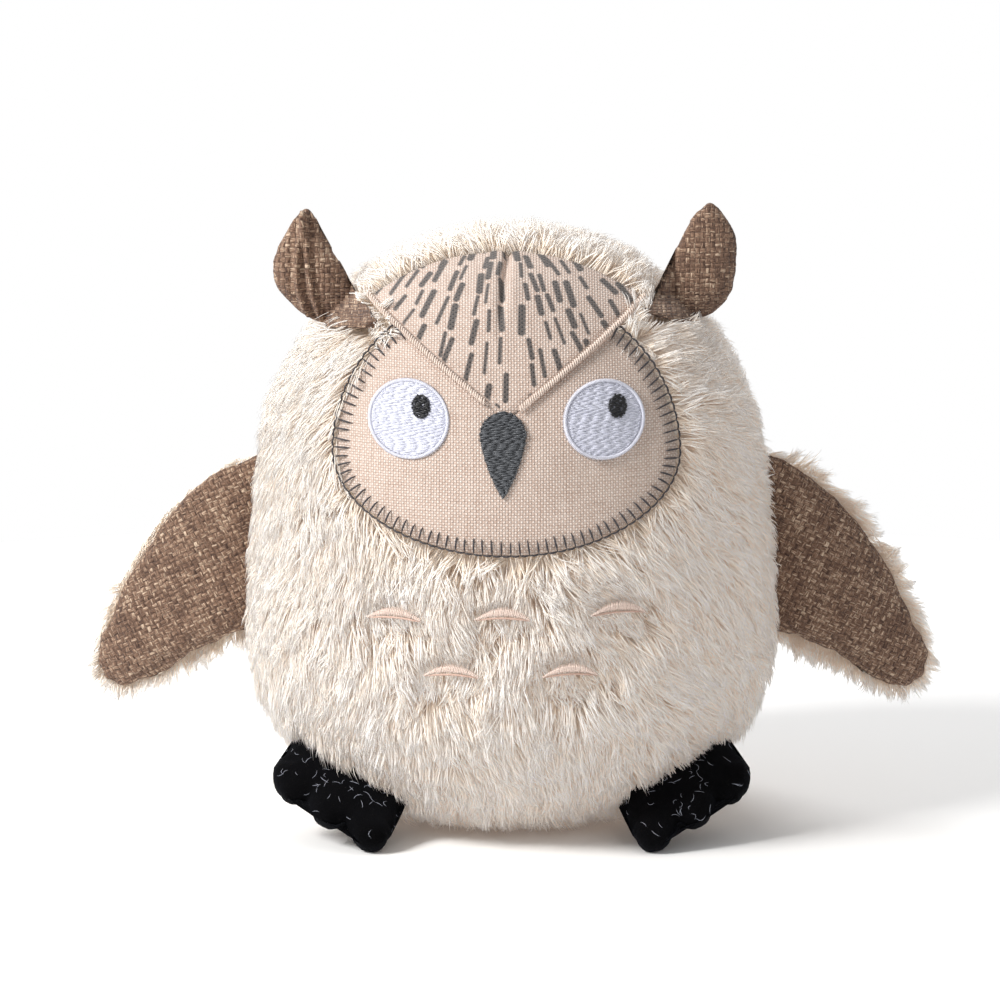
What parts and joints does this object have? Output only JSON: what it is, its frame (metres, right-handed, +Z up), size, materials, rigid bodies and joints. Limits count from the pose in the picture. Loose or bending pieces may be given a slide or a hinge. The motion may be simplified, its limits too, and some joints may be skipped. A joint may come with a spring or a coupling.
{
  "type": "interactive plush owl",
  "caption": "Round stuffed owl in cream plush with linen wings and ears, a canvas face, velour feet and a geared drive that flaps the wings.",
  "frame": {"origin": "middle of the flat base panel that the owl sits on", "axes": "+Z up, front of the owl towards -Y, +X to the right as seen from the front"},
  "size_m": [0.2426, 0.1502, 0.1774],
  "materials": {
    "fur": "long-pile cream plush",
    "canvas": "plain-weave cotton canvas",
    "printed_canvas": "printed plain-weave canvas",
    "satin_thread": "satin stitch",
    "charcoal_thread": "charcoal blanket stitch",
    "white_thread": "white embroidery",
    "black_thread": "black embroidery",
    "grey_thread": "dark grey embroidery",
    "feather_thread": "pinkish beige embroidery",
    "linen": "melange brown linen",
    "velour": "black velour",
    "stuffing": "polyester fibre",
    "base_cloth": "woven base cloth",
    "shell_plastic": "moulded plastic",
    "frame_plastic": "moulded plastic",
    "gear_plastic": "acetal",
    "switch_plastic": "moulded plastic",
    "battery_wrap": "plain printed sleeve",
    "steel": "ground steel",
    "brass": "stamped brass",
    "silicone": "silicone",
    "board": "solder-masked laminate",
    "speaker_black": "paper cone and frame",
    "lead_sleeve": "insulated lead"
  },
  "bodies": {
    "root": {"base_panel": "base_cloth", "front_left_fur": "fur", "front_right_fur": "fur", "back_left_fur": "fur", "back_right_fur": "fur", "face_canvas": "canvas", "forehead_canvas": "printed_canvas", "brow_piping": "satin_thread", "face_stitching": "charcoal_thread", "left_eye_embroidery": "white_thread", "right_eye_embroidery": "white_thread", "left_pupil_embroidery": "black_thread", "right_pupil_embroidery": "black_thread", "beak_embroidery": "grey_thread", "belly_embroidery": "feather_thread", "fibre_fill": "stuffing", "left_wing_arm": "frame_plastic", "right_wing_arm": "frame_plastic", "core_front_shell": "shell_plastic", "core_back_shell": "shell_plastic", "core_screws": "steel", "gear_plate": "frame_plastic", "gear_cover": "frame_plastic", "steel_pins": "steel", "motor_can": "steel", "circuit_board": "board", "speaker": "speaker_black", "battery_box": "shell_plastic", "battery_door": "shell_plastic", "battery_door_screw": "steel", "battery_cells": "battery_wrap", "battery_contacts": "brass", "press_switch_base": "shell_plastic", "press_switch_dome": "silicone", "inner_leads": "lead_sleeve"},
    "left_wing": {"left_wing_linen": "linen", "left_wing_fur": "fur", "left_wing_fill": "stuffing", "left_wing_paddle": "gear_plastic"},
    "right_wing": {"right_wing_linen": "linen", "right_wing_fur": "fur", "right_wing_fill": "stuffing", "right_wing_paddle": "gear_plastic"},
    "left_ear": {"left_ear": "linen"},
    "right_ear": {"right_ear": "linen"},
    "left_foot": {"left_foot_velour": "velour", "left_foot_fill": "stuffing"},
    "right_foot": {"right_foot_velour": "velour", "right_foot_fill": "stuffing"},
    "back_flap": {"back_flap": "fur"},
    "left_drive_gear": {"left_drive_gear": "gear_plastic"},
    "right_drive_gear": {"right_drive_gear": "gear_plastic"},
    "compound_gear": {"compound_gear": "gear_plastic"},
    "motor_rotor": {"motor_pinion": "steel"},
    "left_rack": {"left_rack": "gear_plastic"},
    "right_rack": {"right_rack": "gear_plastic"},
    "press_cap": {"press_switch_cap": "shell_plastic"},
    "power_slider": {"power_switch_slider": "switch_plastic"}
  },
  "joints": [
    {"name": "left_wing_flap", "type": "hinge", "parent": "root", "child": "left_wing", "pos_m": [-0.0635, 0, 0.082], "axis": [0, 0, -1], "range_deg": [-20, 30]},
    {"name": "right_wing_flap", "type": "hinge", "parent": "root", "child": "right_wing", "pos_m": [0.0635, 0, 0.082], "axis": [0, 0, 1], "range_deg": [-20.5, 30.5]},
    {"name": "left_rack_slide", "type": "slide", "parent": "root", "child": "left_rack", "axis": [-1, 0, 0], "range_m": [-0.0013, 0.0019]},
    {"name": "right_rack_slide", "type": "slide", "parent": "root", "child": "right_rack", "axis": [1, 0, 0], "range_m": [-0.0013, 0.0019]},
    {"name": "left_drive_gear_turn", "type": "hinge", "parent": "root", "child": "left_drive_gear", "pos_m": [-0.0072, 0.0036, 0.082], "axis": [0, 0, 1], "range_deg": [-15.5, 10.5]},
    {"name": "right_drive_gear_turn", "type": "hinge", "parent": "root", "child": "right_drive_gear", "pos_m": [0.0072, 0.0036, 0.082], "axis": [0, 0, 1], "range_deg": [-10.5, 15.5]},
    {"name": "compound_gear_turn", "type": "hinge", "parent": "root", "child": "compound_gear", "pos_m": [0.0072, 0.0138, 0.082], "axis": [0, 0, 1], "range_deg": [-36.5, 24.5]},
    {"name": "motor_turn", "type": "hinge", "parent": "root", "child": "motor_rotor", "pos_m": [-0.0036, 0.0138, 0.077], "axis": [0, 0, 1], "range_deg": [-63, 94]},
    {"name": "left_ear_flex", "type": "hinge", "parent": "root", "child": "left_ear", "pos_m": [-0.056, -0.008, 0.1395], "axis": [0.8648, 0, 0.5021], "range_deg": [-15, 15], "stiffness_Nm_per_rad": 0.06},
    {"name": "right_ear_flex", "type": "hinge", "parent": "root", "child": "right_ear", "pos_m": [0.058, -0.008, 0.1395], "axis": [0.848, 0, -0.53], "range_deg": [-15, 15], "stiffness_Nm_per_rad": 0.06},
    {"name": "left_foot_lift", "type": "hinge", "parent": "root", "child": "left_foot", "pos_m": [-0.06, -0.026, 0.027], "axis": [-0.8072, 0.4426, 0.3906], "range_deg": [0, 20], "stiffness_Nm_per_rad": 0.08},
    {"name": "right_foot_lift", "type": "hinge", "parent": "root", "child": "right_foot", "pos_m": [0.06, -0.026, 0.027], "axis": [-0.8072, -0.4426, -0.3906], "range_deg": [0, 20], "stiffness_Nm_per_rad": 0.08},
    {"name": "back_flap_open", "type": "hinge", "parent": "root", "child": "back_flap", "pos_m": [0, 0.0724, 0.096], "axis": [1, 0, 0], "range_deg": [0, 100]},
    {"name": "belly_press", "type": "slide", "parent": "root", "child": "press_cap", "axis": [0, 1, 0], "range_m": [0, 0.002], "stiffness_N_per_m": 900, "deforming": ["press_switch_dome"]},
    {"name": "power_switch_slide", "type": "slide", "parent": "root", "child": "power_slider", "axis": [1, 0, 0], "range_m": [0, 0.0035]}
  ],
  "couplings": [
    {"joint": "right_wing_flap", "follows": "left_wing_flap", "ratio": 1},
    {"joint": "left_rack_slide", "follows": "left_wing_flap", "m_per_rad": 0.0036},
    {"joint": "right_rack_slide", "follows": "left_wing_flap", "m_per_rad": 0.0036},
    {"joint": "left_drive_gear_turn", "follows": "left_wing_flap", "ratio": -0.5},
    {"joint": "right_drive_gear_turn", "follows": "left_wing_flap", "ratio": 0.5},
    {"joint": "compound_gear_turn", "follows": "left_wing_flap", "ratio": -1.2},
    {"joint": "motor_turn", "follows": "left_wing_flap", "ratio": 3.12}
  ]
}
